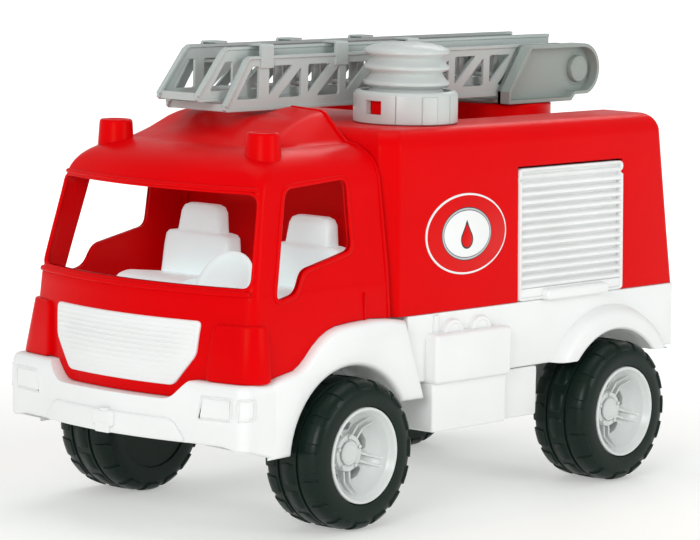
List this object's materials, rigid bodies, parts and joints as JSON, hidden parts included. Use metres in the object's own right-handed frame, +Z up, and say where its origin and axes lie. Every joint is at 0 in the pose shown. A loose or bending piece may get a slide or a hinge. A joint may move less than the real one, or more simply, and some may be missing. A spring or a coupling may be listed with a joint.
{
  "type": "toy fire engine",
  "caption": "Toy fire engine with free-rolling wheels, a turning, raising and extending ladder, a squeeze bellows pump and lift-up locker doors.",
  "frame": {"origin": "on the ground, on the centreline, below the middle of the overall length", "axes": "-Y towards the front of the truck, +X towards its left side, +Z up"},
  "size_m": [0.21, 0.4276, 0.2746],
  "materials": {
    "red_plastic": "gloss",
    "white_plastic": "semi-gloss",
    "pale_grey_plastic": "satin",
    "ladder_grey_plastic": "satin",
    "dark_grey_plastic": "satin",
    "rim_plastic": "semi-gloss",
    "tyre_plastic": "satin",
    "zinc_steel": "zinc plated"
  },
  "bodies": {
    "truck": {"cab_shell": "red_plastic", "body_box": "red_plastic", "chassis": "white_plastic", "grille_panel": "white_plastic", "cab_seats": "white_plastic", "steering_wheel": "white_plastic", "badge_left": "white_plastic", "badge_right": "white_plastic", "pump_valve": "white_plastic", "pump_collar": "pale_grey_plastic", "front_axle": "zinc_steel", "rear_axle": "zinc_steel", "push_nut_front_left": "zinc_steel", "push_nut_front_right": "zinc_steel", "push_nut_rear_left": "zinc_steel", "push_nut_rear_right": "zinc_steel", "body_screw_1": "zinc_steel", "body_screw_2": "zinc_steel", "body_screw_3": "zinc_steel", "body_screw_4": "zinc_steel"},
    "wheel_front_left": {"tyre_front_left": "tyre_plastic", "rim_front_left": "rim_plastic", "hub_cap_front_left": "rim_plastic"},
    "wheel_front_right": {"tyre_front_right": "tyre_plastic", "rim_front_right": "rim_plastic", "hub_cap_front_right": "rim_plastic"},
    "wheel_rear_left": {"tyre_rear_left": "tyre_plastic", "rim_rear_left": "rim_plastic", "hub_cap_rear_left": "rim_plastic"},
    "wheel_rear_right": {"tyre_rear_right": "tyre_plastic", "rim_rear_right": "rim_plastic", "hub_cap_rear_right": "rim_plastic"},
    "turntable": {"turntable_cradle": "dark_grey_plastic", "turntable_washer": "zinc_steel", "turntable_screw": "zinc_steel", "ladder_pivot_pin_left": "dark_grey_plastic", "ladder_pivot_pin_right": "dark_grey_plastic"},
    "ladder": {"ladder_lower": "ladder_grey_plastic"},
    "ladder_extension": {"ladder_upper": "ladder_grey_plastic"},
    "pump_top": {"pump_bellows": "pale_grey_plastic"},
    "locker_door_left": {"shutter_left": "white_plastic"},
    "locker_door_right": {"shutter_right": "white_plastic"}
  },
  "joints": [
    {"name": "wheel_spin_front_left", "type": "hinge", "parent": "truck", "child": "wheel_front_left", "pos_m": [0.0845, -0.10925, 0.044], "axis": [1, 0, 0], "continuous": true},
    {"name": "wheel_spin_front_right", "type": "hinge", "parent": "truck", "child": "wheel_front_right", "pos_m": [-0.0845, -0.10925, 0.044], "axis": [1, 0, 0], "continuous": true},
    {"name": "wheel_spin_rear_left", "type": "hinge", "parent": "truck", "child": "wheel_rear_left", "pos_m": [0.0845, 0.13375, 0.044], "axis": [1, 0, 0], "continuous": true},
    {"name": "wheel_spin_rear_right", "type": "hinge", "parent": "truck", "child": "wheel_rear_right", "pos_m": [-0.0845, 0.13375, 0.044], "axis": [1, 0, 0], "continuous": true},
    {"name": "turntable_turn", "type": "hinge", "parent": "truck", "child": "turntable", "pos_m": [-0.0191, 0.15025, 0.23], "axis": [0, 0, 1], "range_deg": [-300, 0]},
    {"name": "ladder_raise", "type": "hinge", "parent": "turntable", "child": "ladder", "pos_m": [-0.0191, 0.19725, 0.25], "axis": [-1, 0, 0], "range_deg": [0, 60]},
    {"name": "ladder_extend", "type": "slide", "parent": "ladder", "child": "ladder_extension", "axis": [0, -1, 0], "range_m": [0, 0.15]},
    {"name": "pump_press", "type": "slide", "parent": "truck", "child": "pump_top", "axis": [0, 0, -1], "range_m": [0, 0.018], "stiffness_N_per_m": 800, "deforming": ["pump_bellows"]},
    {"name": "locker_door_left_lift", "type": "hinge", "parent": "truck", "child": "locker_door_left", "pos_m": [0.083, 0.09775, 0.196], "axis": [0, -1, 0], "range_deg": [0, 100]},
    {"name": "locker_door_right_lift", "type": "hinge", "parent": "truck", "child": "locker_door_right", "pos_m": [-0.083, 0.09775, 0.196], "axis": [0, 1, 0], "range_deg": [0, 100]}
  ]
}
